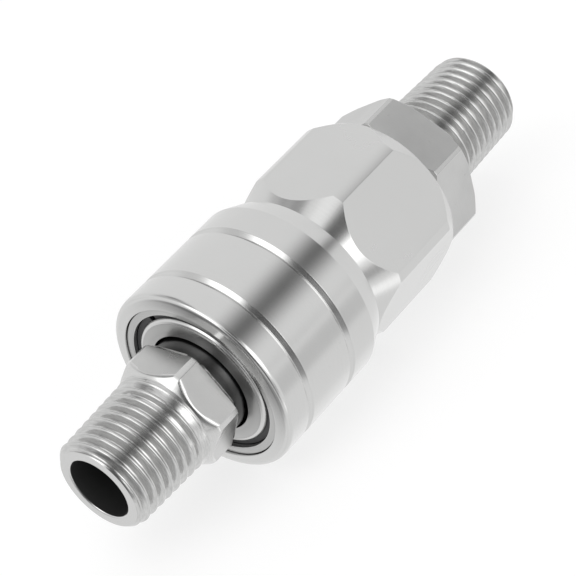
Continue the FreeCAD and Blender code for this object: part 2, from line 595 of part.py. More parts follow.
rounded(socket_body, "Places.lip_x", "Places.body_r", "Sizes.lip_round")
rounded(socket_body, "Places.hexagon_x", "Places.neck_r", "Sizes.body_neck_round")

# Ball holes: straight from the outside, closing in at the bore so that a ball can't drop through
hole_r, hole_lip_r = "Places.ball_r + Sizes.ball_hole_play", "Places.ball_r - Sizes.ball_hole_lip"
ball_hole = new_sketch(socket_body, "socket_body_ball_hole", "XY_Plane")
outline(ball_hole, [
    ("Places.ball_x", "Places.mouth_r - Sizes.drill_overrun"),
    ("Places.ball_x + " + hole_lip_r, "Places.mouth_r - Sizes.drill_overrun"),
    ("Places.ball_x + " + hole_lip_r, "Places.mouth_r"),
    ("Places.ball_x + " + hole_r, "Places.ball_rest_r"),
    ("Places.ball_x + " + hole_r, "Places.body_r + Sizes.drill_overrun"),
    ("Places.ball_x", "Places.body_r + Sizes.drill_overrun")])
drill_foot = FreeCAD.Vector(value_of("Places.ball_x"), 0, 0)
drill_reach = value_of("Places.body_r")
drill_top = drill_foot + FreeCAD.Vector(0, drill_reach)
drill_axis = ball_hole.addGeometry(Part.LineSegment(drill_foot, drill_top))
ball_hole.toggleConstruction(drill_axis)
ball_hole.addConstraint(Sketcher.Constraint("PointOnObject", drill_axis, 1, -1))
ball_hole.addConstraint(Sketcher.Constraint("Vertical", drill_axis))
drive(ball_hole, Sketcher.Constraint("DistanceX", -1, 1, drill_axis, 1, drill_foot.x), "Places.ball_x")
drive(ball_hole, Sketcher.Constraint("DistanceY", -1, 1, drill_axis, 2, drill_reach), "Places.body_r")
drilling = socket_body.newObject("PartDesign::Groove", "socket_body_ball_drilling")
drilling.Profile = ball_hole
drilling.ReferenceAxis = (ball_hole, ["Axis0"])
drilling.Angle = 360
doc.recompute()
repeated(socket_body, drilling, "Sizes.ball_count")

# Nose seal and its backup ring, in the groove of the socket's throat
seal_ring("nose_seal", "Places.seal_x + Places.seal_width / 2", "Places.nose_r + Places.seal_width / 2",
          "Sizes.seal_section")
turned("backup_ring", [
    ("Places.backup_x", "Places.nose_r + Sizes.seal_play"),
    ("Places.backup_x", "Places.seal_floor_r - Sizes.seal_play"),
    ("Places.backup_x + Sizes.backup_width", "Places.seal_floor_r - Sizes.seal_play"),
    ("Places.backup_x + Sizes.backup_width", "Places.nose_r + Sizes.seal_play")])

# Socket valve: poppet and its seal, the spring and the drilled guide that the adapter clamps
poppet("socket", "-", "+")
guide_disc("socket_guide", "Places.guide_x", "Places.guide_back_x", "Places.adapter_screw_r",
           "Sizes.socket_stem_d", "Sizes.socket_port_wall")
coil_spring("socket_spring", "Places.socket_rim_back_x + Sizes.seat_gap", "Places.guide_x - Sizes.seat_gap",
            "Places.socket_coil_r", "Sizes.socket_wire_d", "Sizes.socket_coil_pitch")

# Adapter: screwed spigot with its seal step, hexagon, thread relief and pipe thread
adapter = turned("adapter", [
    ("Places.guide_back_x + Sizes.adapter_inlet_length", "Places.adapter_bore_r"),
    ("Places.guide_back_x", "Places.adapter_bore_r + Sizes.adapter_inlet_flare"),
    ("Places.guide_back_x", "Places.adapter_screw_r - Sizes.adapter_screw_bevel"),
    ("Places.guide_back_x + Sizes.adapter_screw_bevel", "Places.adapter_screw_r"),
    ("Places.adapter_seal_x", "Places.adapter_screw_r"), ("Places.adapter_seal_x", "Places.adapter_seal_r"),
    ("Places.body_back_x", "Places.adapter_seal_r"), ("Places.body_back_x", "Places.adapter_face_r"),
    ("Places.body_back_x + Sizes.adapter_hex_bevel", "Places.adapter_corner_r"),
    ("Places.adapter_hex_back_x - Sizes.adapter_hex_bevel", "Places.adapter_corner_r"),
    ("Places.adapter_hex_back_x", "Places.adapter_face_r"),
    ("Places.adapter_hex_back_x", "Places.relief_r"), ("Places.adapter_thread_x", "Places.relief_r"),
    ("Places.adapter_thread_x + (Places.adapter_thread_r - Places.relief_r)", "Places.adapter_thread_r"),
    ("Places.end_x - Sizes.thread_tip_length", "Places.thread_start_r"),
    ("Places.end_x", "Places.thread_tip_r"), ("Places.end_x", "Places.adapter_bore_r")])
wrench_flats(adapter, "Places.body_back_x", "Sizes.adapter_hex_length", "Sizes.adapter_hex_width",
             "Places.adapter_corner_r", "Sizes.adapter_turn")
threaded(adapter, "thread", "Places.end_x", "-", "Places.thread_lead", "Places.adapter_thread_turns",
         "Places.thread_slope")
seal_ring("adapter_seal", "Places.adapter_seal_x + Places.adapter_seal_width / 2",
          "Places.adapter_seal_r + Places.adapter_seal_width / 2", "Sizes.adapter_seal_section")

# Snap ring in the lip's groove, and the stop washer that nests over it
snap_ring = turned("snap_ring", [
    ("Places.ring_x", "Places.ring_groove_r + Sizes.ring_play"), ("Places.ring_x", "Places.ring_r"),
    ("Places.ring_back_x", "Places.ring_r"),
    ("Places.ring_back_x", "Places.ring_groove_r + Sizes.ring_play")], "360 - Sizes.ring_split_sweep")
snap_ring.Placement = FreeCAD.Placement(FreeCAD.Vector(), FreeCAD.Rotation(FreeCAD.Vector(1, 0, 0), 0))
snap_ring.setExpression("Placement.Rotation.Angle", "Sizes.ring_split_angle + Sizes.ring_split_sweep / 2")
turned("stop_washer", [
    ("Places.washer_x", "Places.washer_recess_r"), ("Places.washer_x", "Places.washer_r"),
    ("Places.washer_back_x", "Places.washer_r"), ("Places.washer_back_x", "Places.land_r"),
    ("Places.washer_floor_x", "Places.land_r"), ("Places.washer_floor_x", "Places.washer_recess_r")])

# Sleeve: washer seat, ball ramp, land, spring room and the two grip grooves
sleeve = turned("sleeve", [
    ("Places.sleeve_x", "Places.washer_seat_r"), ("Places.sleeve_x", "Places.sleeve_r"),
    ("Places.tail_x", "Places.sleeve_r"), ("Places.sleeve_back_x", "Places.sleeve_r - Sizes.sleeve_tail_drop"),
    ("Places.sleeve_back_x", "Places.spring_room_r + Sizes.sleeve_tail_flare"),
    ("Places.sleeve_back_x - Sizes.sleeve_tail_flare_length", "Places.spring_room_r"),
    ("Places.land_back_x", "Places.spring_room_r"), ("Places.land_back_x", "Places.land_r"),
    ("Places.land_x", "Places.land_r"), ("Places.washer_seat_x", "Places.ramp_start_r"),
    ("Places.washer_seat_x", "Places.washer_seat_r")])
rounded(sleeve, "Places.sleeve_x", "Places.sleeve_r", "Sizes.sleeve_round")
for name in ("front", "rear"):
    middle = "Places.sleeve_x + Sizes.%s_groove_setback" % name
    grooved(sleeve, name + "_grip", [
        (middle + " - Sizes.grip_groove_width / 2", "Places.sleeve_r"),
        (middle, "Places.sleeve_r - Sizes.grip_groove_depth"),
        (middle + " + Sizes.grip_groove_width / 2", "Places.sleeve_r"),
        (middle, "Places.sleeve_r + Sizes.grip_groove_depth")])
coil_spring("sleeve_spring", "Places.land_back_x + Sizes.seat_gap", "Places.shoulder_x - Sizes.seat_gap",
            "(Places.body_r + Places.spring_room_r) / 2", "Sizes.sleeve_wire_d", "Sizes.sleeve_coil_pitch")

# Locking balls, one in each hole, pressed into the plug's groove
for number in range(int(value_of("Sizes.ball_count"))):
    turn = "%d * 360 / Sizes.ball_count" % number
    ball = doc.addObject("Part::Sphere", "locking_ball_%d" % (number + 1))
    ball.setExpression("Radius", "Places.ball_r")
    ball.setExpression("Placement.Base.x", "Places.ball_x")
    ball.setExpression("Placement.Base.y", "Places.ball_rest_r * cos(%s)" % turn)
    ball.setExpression("Placement.Base.z", "Places.ball_rest_r * sin(%s)" % turn)

doc.recompute()

# Check and write out
for item in doc.Objects:
    if "Invalid" in item.State or "Error" in item.State:
        raise RuntimeError("%s failed: %s" % (item.Label, item.State))
pieces = [item for item in doc.Objects if item.isDerivedFrom("PartDesign::Body") or item.TypeId in
          ("Part::Torus", "Part::Sphere")]
for piece in pieces:
    if piece.Shape.isNull() or not piece.Shape.isValid():
        raise RuntimeError("%s has no valid shape" % piece.Label)
os.makedirs("parts", exist_ok=True)
for piece in pieces:
    piece.Shape.exportStep("parts/%s.step" % piece.Label)
    print("%-20s %2d solid %10.2f mm3" % (piece.Label, len(piece.Shape.Solids), piece.Shape.Volume))
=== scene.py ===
import bmesh
import bpy
import json
import math
from mathutils import Matrix, Vector, noise


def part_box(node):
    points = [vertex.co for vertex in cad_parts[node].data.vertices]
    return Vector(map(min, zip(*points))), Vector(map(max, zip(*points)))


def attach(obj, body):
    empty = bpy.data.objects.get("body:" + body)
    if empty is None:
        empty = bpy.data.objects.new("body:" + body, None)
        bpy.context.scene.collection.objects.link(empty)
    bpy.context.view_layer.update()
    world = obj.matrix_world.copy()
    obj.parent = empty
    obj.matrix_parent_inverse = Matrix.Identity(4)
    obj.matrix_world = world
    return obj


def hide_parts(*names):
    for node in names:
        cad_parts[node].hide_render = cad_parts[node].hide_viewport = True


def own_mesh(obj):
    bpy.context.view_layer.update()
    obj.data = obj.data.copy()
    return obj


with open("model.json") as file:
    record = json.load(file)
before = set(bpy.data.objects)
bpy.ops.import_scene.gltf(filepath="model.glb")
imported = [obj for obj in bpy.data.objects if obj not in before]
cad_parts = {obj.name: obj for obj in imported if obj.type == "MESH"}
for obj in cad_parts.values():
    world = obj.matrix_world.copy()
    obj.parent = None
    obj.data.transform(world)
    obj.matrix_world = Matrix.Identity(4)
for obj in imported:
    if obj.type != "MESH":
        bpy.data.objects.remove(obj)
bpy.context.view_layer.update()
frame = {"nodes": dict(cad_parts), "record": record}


# Plug: turned from hexagon bar in bright plated steel, with a taper pipe thread on its outer end.
# The thread's last two turns run out before the hexagon, and the bore is painted near black as painted
# shade.
# Outlines are in millimetres, along the coupler's axis and out from it.

MM = 0.001
TURN_STEPS = 180
ROUND_STEPS = 6
ROUND_REACH = 0.45
FLAT_PARTS = 8
FLAT_WITHIN = 0.003
SAME_SPOT = 1e-6
SKIN_MERGE = 1e-3
MERGE = 2e-3
SLIVER = 1e-4
SHARP_ANGLE = math.radians(38)
TURNED_WITHIN = 0.03
ARC_POINTS = 5
FLANK_PARTS = 3

# The thread's flanks stand at 55 degrees to each other, and its crests and roots are rounded.
thread_pitch = 1.337
thread_flank = math.radians(27.5)
thread_depth = thread_pitch / 3 / math.tan(thread_flank)
thread_round = 0.137329 * thread_pitch
thread_small_r = 6.35
thread_taper = 1 / 32
thread_tip_r = 5.6
thread_tip_length = 0.8
thread_burr = 0.016
burr_along, burr_across = 1.3, 0.9
fine_burr, fine_burr_scale = 0.6, 2.3


def eased(corners, radius, closed=True):
    """The outline with its corners rounded, as tumbling leaves them.

    A corner's third number is its own radius, and 0 leaves it as it is.
    """
    rounded = []
    count = len(corners)
    for i, corner in enumerate(corners):
        here = Vector(corner[:2])
        own_radius = corner[2] if len(corner) > 2 else radius
        if own_radius == 0 or (not closed and i in (0, count - 1)):
            rounded.append(here)
            continue
        before = Vector(corners[i - 1][:2]) - here
        after = Vector(corners[(i + 1) % count][:2]) - here
        wanted = own_radius / math.tan(before.angle(after, math.pi) / 2)
        reach = min(wanted, ROUND_REACH * before.length, ROUND_REACH * after.length)
        first, last = here + before.normalized() * reach, here + after.normalized() * reach
        for step in range(ROUND_STEPS + 1):
            s = step / ROUND_STEPS
            rounded.append(first * (1 - s) ** 2 + here * 2 * s * (1 - s) + last * s ** 2)
    return rounded


def lathe(outline, closed=True):
    """A half section turned a full circle about the X axis. Each vertex keeps its place in the outline."""
    bm = bmesh.new()
    place = bm.verts.layers.int.new("place")
    points = [bm.verts.new((x, r, 0)) for x, r in outline]
    for i, point in enumerate(points):
        point[place] = i
    pairs = list(zip(points, points[1:])) + ([(points[-1], points[0])] if closed else [])
    edges = [bm.edges.new(pair) for pair in pairs]
    bmesh.ops.spin(bm, geom=points + edges, axis=(1, 0, 0), angle=2 * math.pi,
                   steps=TURN_STEPS, use_merge=True)
    return bm


def mill_hexagon(bm, outline_at, half_width, corner_r, turn, ease, before=0, after=0):
    """Brings a turned blank in to a hexagon with eased edges. Its flats become material 1.

    outline_at gives the outline for any radius of the hexagon. before and after are how many of the
    outline's places next to the hexagon keep in line with its columns.
    """
    edge = half_width * math.tan(math.acos(half_width / corner_r))
    flat_points = [(edge * j / FLAT_PARTS, 0) for j in range(1 - FLAT_PARTS, FLAT_PARTS)]
    flat_points = [(-edge, ease), *flat_points, (edge, ease)]
    corners = []
    for k in range(6):
        for across, own_radius in flat_points:
            a, r = math.atan2(across, half_width) + math.radians(60 * k), math.hypot(across, half_width)
            corners.append((r * math.cos(a), r * math.sin(a), own_radius))
        a = math.radians(60 * k + 30)
        corners.append((corner_r * math.cos(a), corner_r * math.sin(a), 0))
    section = eased(corners, ease)
    outlines = [outline_at(point.length) for point in section]
    lowest = outline_at(half_width)
    cut = [i for i, point in enumerate(outline_at(corner_r)) if (point - lowest[i]).length > SAME_SPOT]
    milled = range(cut[0] - before, cut[-1] + after + 1)
    step = 2 * math.pi / TURN_STEPS
    flat_angle = math.radians(turn + 30)
    first_column = round(flat_angle / step) - (ROUND_STEPS + FLAT_PARTS)
    place = bm.verts.layers.int["place"]
    for v in bm.verts:
        if v[place] in milled:
            column = (round(math.atan2(v.co.z, v.co.y) / step) - first_column) % TURN_STEPS
            x, r = outlines[column][v[place]]
            a = math.atan2(section[column].y, section[column].x) + flat_angle
            v.co = (x, r * math.cos(a), r * math.sin(a))
    half_side = math.radians(30)
    for face in bm.faces:
        centre = face.calc_center_median()
        a = (math.atan2(centre.z, centre.y) - flat_angle + half_side) % (2 * half_side) - half_side
        if abs(math.hypot(centre.y, centre.z) * math.cos(a) - half_width) < FLAT_WITHIN:
            face.material_index = 1


def add_thread(bm, tip_x, way, length, start, lowest, highest):
    """Adds the skin of a right-hand taper thread, with open ends, as material 2.

    The tip stands at tip_x and the root lies the way given. start is where the first groove lies, as a
    share of the pitch. lowest and highest bound the skin's radius at each distance from the tip.
    """
    skin = bmesh.new()
    bend = math.pi / 2 - thread_flank
    crest, root = thread_small_r - thread_round, thread_small_r - thread_depth + thread_round
    section = []
    for k in range(-2, int(length / thread_pitch) + 3):
        groove, ridge = (k + start) * thread_pitch, (k + start + 0.5) * thread_pitch
        for middle, level, side in ((groove, root, -1), (ridge, crest, 1)):
            for j in range(ARC_POINTS):
                a = bend * (2 * j / (ARC_POINTS - 1) - 1)
                r = level + side * thread_round * math.cos(a)
                section.append((middle + thread_round * math.sin(a), r))
    dense = []
    for (x0, r0), (x1, r1) in zip(section, section[1:]):
        parts = FLANK_PARTS if x1 - x0 > thread_round else 1
        dense += [(x0 + (x1 - x0) * i / parts, r0 + (r1 - r0) * i / parts) for i in range(parts)]
    points = [skin.verts.new((x, r, 0)) for x, r in dense]
    edges = [skin.edges.new(pair) for pair in zip(points, points[1:])]
    bmesh.ops.spin(skin, geom=points + edges, axis=(1, 0, 0), dvec=(thread_pitch / TURN_STEPS, 0, 0),
                   angle=2 * math.pi, steps=TURN_STEPS)
    bmesh.ops.remove_doubles(skin, verts=skin.verts, dist=SKIN_MERGE)
    for v in skin.verts:
        from_tip = min(max(v.co.x, 0), length)
        radius = math.hypot(v.co.y, v.co.z)
        spot = Vector((v.co.x * burr_along, v.co.y * burr_across, v.co.z * burr_across))
        burr = thread_burr * (noise.noise(spot) + fine_burr * noise.noise(spot * fine_burr_scale))
        wanted = min(max(radius + from_tip * thread_taper + burr, lowest(from_tip)), highest(from_tip))
        if v.co.x <= 0:
            wanted = thread_tip_r
        v.co = (from_tip, v.co.y * wanted / radius, v.co.z * wanted / radius)
    bmesh.ops.remove_doubles(skin, verts=skin.verts, dist=SKIN_MERGE)
    turned_end = Matrix.Rotation(0 if way > 0 else math.pi, 4, "Z")
    bmesh.ops.transform(skin, matrix=Matrix.Translation((tip_x, 0, 0)) @ turned_end, verts=skin.verts)
    for face in skin.faces:
        face.material_index = 2
    mesh = bpy.data.meshes.new("thread_skin")
    skin.to_mesh(mesh)
    skin.free()
    bm.from_mesh(mesh)
    bpy.data.meshes.remove(mesh)


def piece_from(bm, name, body, materials, replaced):
    """The finished piece in metres, riding on its body in the place of its plain node.

    Its large faces keep their own normals, and a turned face's normals have no part that runs round
    the axis. Material 2, a thread's or a bore's, is left out of that.
    """
    bmesh.ops.remove_doubles(bm, verts=bm.verts, dist=MERGE)
    bmesh.ops.dissolve_degenerate(bm, edges=bm.edges, dist=SLIVER)
    bmesh.ops.recalc_face_normals(bm, faces=bm.faces)
    bmesh.ops.scale(bm, vec=(MM, MM, MM), verts=bm.verts)
    mesh = bpy.data.meshes.new(name)
    bm.to_mesh(mesh)
    bm.free()
    mesh.shade_smooth()
    mesh.set_sharp_from_angle(angle=SHARP_ANGLE)
    for material in materials:
        mesh.materials.append(material)
    piece = bpy.data.objects.new(name, mesh)
    bpy.context.collection.objects.link(piece)
    weights = piece.modifiers.new("flat faces stay flat", "WEIGHTED_NORMAL")
    weights.keep_sharp = True
    shown = piece.evaluated_get(bpy.context.evaluated_depsgraph_get()).data
    normals = [corner.vector.copy() for corner in shown.corner_normals]
    piece.modifiers.clear()
    for face in mesh.polygons:
        across = Vector((0, -face.center.z, face.center.y)).normalized()
        if face.material_index != 2 and abs(face.normal.dot(across)) < TURNED_WITHIN:
            for i in face.loop_indices:
                spot = mesh.vertices[mesh.loops[i].vertex_index].co
                around = Vector((0, -spot.z, spot.y)).normalized()
                normals[i] = (normals[i] - around * normals[i].dot(around)).normalized()
    mesh.normals_split_custom_set(normals)
    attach(piece, body)
    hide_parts(replaced)
    return piece


def node_group(name, inputs, outputs):
    """An empty node group with its sockets, its entry and its exit."""
    group = bpy.data.node_groups.new(name, "ShaderNodeTree")
    for side, sockets in (("INPUT", inputs), ("OUTPUT", outputs)):
        for label, kind in sockets:
            group.interface.new_socket(name=label, in_out=side, socket_type="NodeSocket" + kind)
    return group, group.nodes.new("NodeGroupInput"), group.nodes.new("NodeGroupOutput")


def math_node(tree, operation, *values):
    """A math node whose inputs are numbers or other nodes' sockets; gives its output."""
    node = tree.nodes.new("ShaderNodeMath")
    node.operation = operation
    for socket, value in zip(node.inputs, values):
        if isinstance(value, (int, float)):
            socket.default_value = value
        else:
            tree.links.new(value, socket)
    return node.outputs[0]


def noise_node(tree, vector, scale, detail):
    """A noise texture over the vector given; gives its value."""
    node = tree.nodes.new("ShaderNodeTexNoise")
    node.inputs["Scale"].default_value = scale
    node.inputs["Detail"].default_value = detail
    tree.links.new(vector, node.inputs["Vector"])
    return node.outputs["Fac"]


def tone_group():
    """Node group: the uneven tone of plating, in broad clouds with a few dull specks."""
    group, enter, leave = node_group("plating_tone", [
        ("Color", "Color"), ("Cloud", "Float"), ("Speck", "Float"), ("Mark", "Float"), ("Streak", "Float")],
        [("Color", "Color"), ("Cloud", "Float")])
    place = group.nodes.new("ShaderNodeTexCoord").outputs["Object"]
    cloud_scale, speck_scale, speck_from, speck_strength = 150, 1500, 0.68, 8
    cloud = noise_node(group, place, cloud_scale, 5)
    speck = math_node(group, "SUBTRACT", noise_node(group, place, speck_scale, 2), speck_from)
    spots = math_node(group, "MULTIPLY", math_node(group, "MAXIMUM", speck, 0), speck_strength)
    dull = math_node(group, "MULTIPLY", math_node(group, "SUBTRACT", cloud, 0.5), enter.outputs["Cloud"])
    spotted = math_node(group, "MULTIPLY", spots, enter.outputs["Speck"])
    streak = math_node(group, "MULTIPLY", math_node(group, "SUBTRACT", enter.outputs["Mark"], 0.5),
                       enter.outputs["Streak"])
    marked = math_node(group, "ADD", math_node(group, "ADD", dull, 1), streak)
    level = math_node(group, "SUBTRACT", marked, spotted)
    tint = group.nodes.new("ShaderNodeVectorMath")
    tint.operation = "SCALE"
    group.links.new(enter.outputs["Color"], tint.inputs[0])
    group.links.new(level, tint.inputs["Scale"])
    group.links.new(tint.outputs["Vector"], leave.inputs["Color"])
    group.links.new(cloud, leave.inputs["Cloud"])
    return group


def rings_group():
    """Node group: the fine rings that a turning tool leaves round the axis, as a height."""
    group, enter, leave = node_group("turning_rings", [("Spacing", "Float")], [("Height", "Float")])
    place = group.nodes.new("ShaderNodeTexCoord").outputs["Object"]
    parts = group.nodes.new("ShaderNodeSeparateXYZ")
    group.links.new(place, parts.inputs[0])
    rings = group.nodes.new("ShaderNodeTexNoise")
    rings.noise_dimensions = "1D"
    rings.inputs["Scale"].default_value = 1
    rings.inputs["Detail"].default_value = 3
    ring_number = math_node(group, "DIVIDE", parts.outputs["X"], enter.outputs["Spacing"])
    group.links.new(ring_number, rings.inputs["W"])
    group.links.new(rings.outputs["Fac"], leave.inputs["Height"])
    return group


def tears_group():
    """Node group: short tears that run round the axis, as a die leaves them on a thread, as a height."""
    group, enter, leave = node_group("cutting_tears", [("Length", "Float")], [("Height", "Float")])
    place = group.nodes.new("ShaderNodeTexCoord").outputs["Object"]
    parts = group.nodes.new("ShaderNodeSeparateXYZ")
    group.links.new(place, parts.inputs[0])
    tears_per_metre = 5200
    angle = math_node(group, "ARCTAN2", parts.outputs["Z"], parts.outputs["Y"])
    square_y = math_node(group, "MULTIPLY", parts.outputs["Y"], parts.outputs["Y"])
    square_z = math_node(group, "MULTIPLY", parts.outputs["Z"], parts.outputs["Z"])
    radius = math_node(group, "SQRT", math_node(group, "ADD", square_y, square_z))
    round_axis = group.nodes.new("ShaderNodeCombineXYZ")
    for socket, value in zip(round_axis.inputs, (
            math_node(group, "MULTIPLY", parts.outputs["X"], tears_per_metre),
            math_node(group, "DIVIDE", angle, enter.outputs["Length"]),
            math_node(group, "MULTIPLY", radius, tears_per_metre))):
        group.links.new(value, socket)
    group.links.new(noise_node(group, round_axis.outputs[0], 1, 3), leave.inputs["Height"])
    return group


plating_tone = tone_group()
turning_rings = rings_group()
cutting_tears = tears_group()


def plated(name, color, roughness, cloud=0.06, speck=0.05, streak=0.1, relief=turning_rings, size=0.00012,
           depth=0.000004):
    """Bright plated steel: metal with an uneven tone and the fine relief of the tool that cut it."""
    material = bpy.data.materials.new(name)
    material.use_nodes = True
    tree = material.node_tree
    shader = tree.nodes["Principled BSDF"]
    shader.inputs["Metallic"].default_value = 1
    tone = tree.nodes.new("ShaderNodeGroup")
    tone.node_tree = plating_tone
    tone.inputs["Color"].default_value = (*color, 1)
    tone.inputs["Cloud"].default_value = cloud
    tone.inputs["Speck"].default_value = speck
    tone.inputs["Streak"].default_value = streak
    roughness_spread = 0.1
    uneven = math_node(tree, "MULTIPLY", tone.outputs["Cloud"], roughness_spread)
    smoothest = roughness - roughness_spread / 2
    marks = tree.nodes.new("ShaderNodeGroup")
    marks.node_tree = relief
    marks.inputs[0].default_value = size
    bump = tree.nodes.new("ShaderNodeBump")
    bump.inputs["Distance"].default_value = depth
    tree.links.new(tone.outputs["Color"], shader.inputs["Base Color"])
    tree.links.new(math_node(tree, "ADD", uneven, smoothest), shader.inputs["Roughness"])
    tree.links.new(marks.outputs["Height"], bump.inputs["Height"])
    tree.links.new(marks.outputs["Height"], tone.inputs["Mark"])
    tree.links.new(bump.outputs["Normal"], shader.inputs["Normal"])
    return material


turned_steel = plated("turned_steel", (0.66, 0.66, 0.655), roughness=0.2)
flat_steel = plated("flat_steel", (0.655, 0.655, 0.65), roughness=0.26, depth=0.0000005)
thread_steel = plated("thread_steel", (0.6, 0.6, 0.595), roughness=0.2, streak=0.45, relief=cutting_tears,
                      size=0.2, depth=0.000016)
# Near-black dull paint for the bores and the socket's inside: painted shade in the hollows.
painted_bore_shade = plated("painted_bore_shade", (0.018, 0.018, 0.018), roughness=0.5)
painted_bore_shade.node_tree.nodes["Principled BSDF"].inputs["Metallic"].default_value = 0
# Dark steel for the plug's shank behind its hexagon: painted shade where the shank sits in the socket's
# mouth.
painted_shank_shade = plated("painted_shank_shade", (0.17, 0.17, 0.17), roughness=0.3)
# Darker steel for the plug's flats: its darker base is painted shade and painted dark reflection from the
# socket's mouth, and its clouds and specks are the plating's uneven tone.
mottled_and_shaded_flat = plated("mottled_and_shaded_flat", (0.55, 0.55, 0.545), roughness=0.28, cloud=0.3, speck=0.1, depth=0.000001)

plug_end_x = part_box("plug_body")[1].x / MM
edge_break = 0.15
plug_bore_r = 4.2
plug_seat_x, plug_seat_r, plug_seat_cone = 33.3, 3, 1.2
plug_hexagon_x = 12.2
plug_hexagon_back_x = 17.1
plug_corner_r = 7.86
plug_half_width = 7.0
plug_round, plug_cap_round, plug_edge_ease = 0.16, 0.9, 0.18
plug_shank_r, plug_shank_x, plug_shank_end_x = 6.98, 20.1, 26.9
plug_relief_r, plug_relief_back_x = 6.7, 19.7
ball_groove_x, ball_groove_r = 24.2, 6.145
ball_groove_floor, ball_groove_mouth = 0.6, 1.455
plug_nose_r, plug_nose_x, plug_nose_chamfer = 5.6, 27.6, 0.5
plug_turn = -2
runout_x = 7 * thread_pitch
runout_length = 2 * thread_pitch


def crest_at(from_tip):
    return thread_small_r + from_tip * thread_taper


def plug_lowest(from_tip):
    share = min(max((from_tip - runout_x) / runout_length, 0), 1)
    return crest_at(from_tip) - thread_depth * (1 - share)


def plug_highest(from_tip):
    tip_slope = (crest_at(0) - thread_tip_r) / thread_tip_length
    return min(crest_at(from_tip), thread_tip_r + from_tip * tip_slope)


def plug_outline(hexagon_r):
    crest = crest_at(plug_hexagon_x)
    cone_start, bevel_length, bevel_drop, least_drop = 0.03, 0.4, 0.55, 0.06
    bevel_foot_r = min(plug_corner_r - bevel_drop, hexagon_r - least_drop)
    return eased([
        (plug_hexagon_x, crest), (plug_hexagon_x + cone_start, crest + cone_start, 0),
        (plug_hexagon_x + hexagon_r - crest, hexagon_r, plug_cap_round),
        (plug_hexagon_back_x - bevel_length, hexagon_r), (plug_hexagon_back_x, bevel_foot_r),
        (plug_hexagon_back_x, plug_relief_r), (plug_relief_back_x, plug_relief_r),
        (plug_shank_x, plug_shank_r),
        (ball_groove_x - ball_groove_mouth, plug_shank_r),
        (ball_groove_x - ball_groove_floor, ball_groove_r),
        (ball_groove_x + ball_groove_floor, ball_groove_r),
        (ball_groove_x + ball_groove_mouth, plug_shank_r),
        (plug_shank_end_x, plug_shank_r), (plug_nose_x, plug_nose_r),
        (plug_end_x - plug_nose_chamfer, plug_nose_r), (plug_end_x, plug_nose_r - plug_nose_chamfer),
        (plug_end_x, plug_seat_r), (plug_seat_x, plug_seat_r),
        (plug_seat_x - plug_seat_cone, plug_bore_r),
        (edge_break, plug_bore_r), (0, plug_bore_r + edge_break), (0, thread_tip_r)],
        plug_round, closed=False)


def refinish(bm, index, inside, front, back):
    """Gives another material, which here paints shade, to the turned faces that stand within a radius,
    between two stations.
    """
    for face in bm.faces:
        centre = face.calc_center_median()
        if math.hypot(centre.y, centre.z) < inside and front < centre.x < back:
            face.material_index = index


plug = lathe(plug_outline(plug_corner_r), closed=False)
mill_hexagon(plug, plug_outline, plug_half_width, plug_corner_r, plug_turn, plug_edge_ease, before=1)
add_thread(plug, 0, 1, plug_hexagon_x, 0, plug_lowest, plug_highest)
# The shank behind the hexagon gets the dark steel, a painted shade.
refinish(plug, 4, inside=plug_shank_r + 0.01, front=plug_hexagon_back_x + 0.05, back=plug_end_x)
# The plug's bore is painted near black as painted shade.
refinish(plug, 3, inside=plug_bore_r + 0.1, front=0.1, back=plug_end_x)
piece_from(plug, "plug", "plug",
           [turned_steel, mottled_and_shaded_flat, thread_steel, painted_bore_shade, painted_shank_shade], "plug_body")


# Socket body: one turned and plated piece, with a flat mouth whose rim is rounded, and a 22 mm hexagon.
# The hexagon's ends are bevelled into cones, so each flat ends in an arc, and the front cone runs down
# behind the sleeve's tail.

lip_x, body_end_x = (corner.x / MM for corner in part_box("socket_body"))
body_round = 0.1
body_r = 9.36
lip_width, ring_groove_width, ring_groove_r = 0.57, 0.96, 8.75
lip_rim = [
    # back from the lip's front, in from the body's radius, rounding
    (0, 0.6, 0.6), (0.12, 0.2, 0.5), (0.38, 0, 0.4),
]
throat_x, throat_end_x, throat_r = lip_x + 0.4, 27.8, 7.15
mouth_x, mouth_r = 19.02, 7.05
shoulder_x, neck_r = 36, 11.0
foot_r, foot_fall, neck_length = 10.25, 0.4, 0.5
hexagon_x = 40.95
body_half_width = 11.1
body_corner_r = 12.42
body_bevel_angle = math.radians(28)
back_least_step = 0.03
seal_pocket_x, seal_pocket_r = 55.19, 8.51
spigot_bore_x, spigot_bore_r = 48, 8
chamber_x, chamber_r = 39.3, 6.4
seat_x, seat_r = 36.1, 3.2
nose_bore_x, nose_bore_end_x, nose_bore_r = 28.5, 34.8, 5.7
seal_groove_x, seal_groove_end_x, seal_groove_r = 30.1, 33.35, 7.6


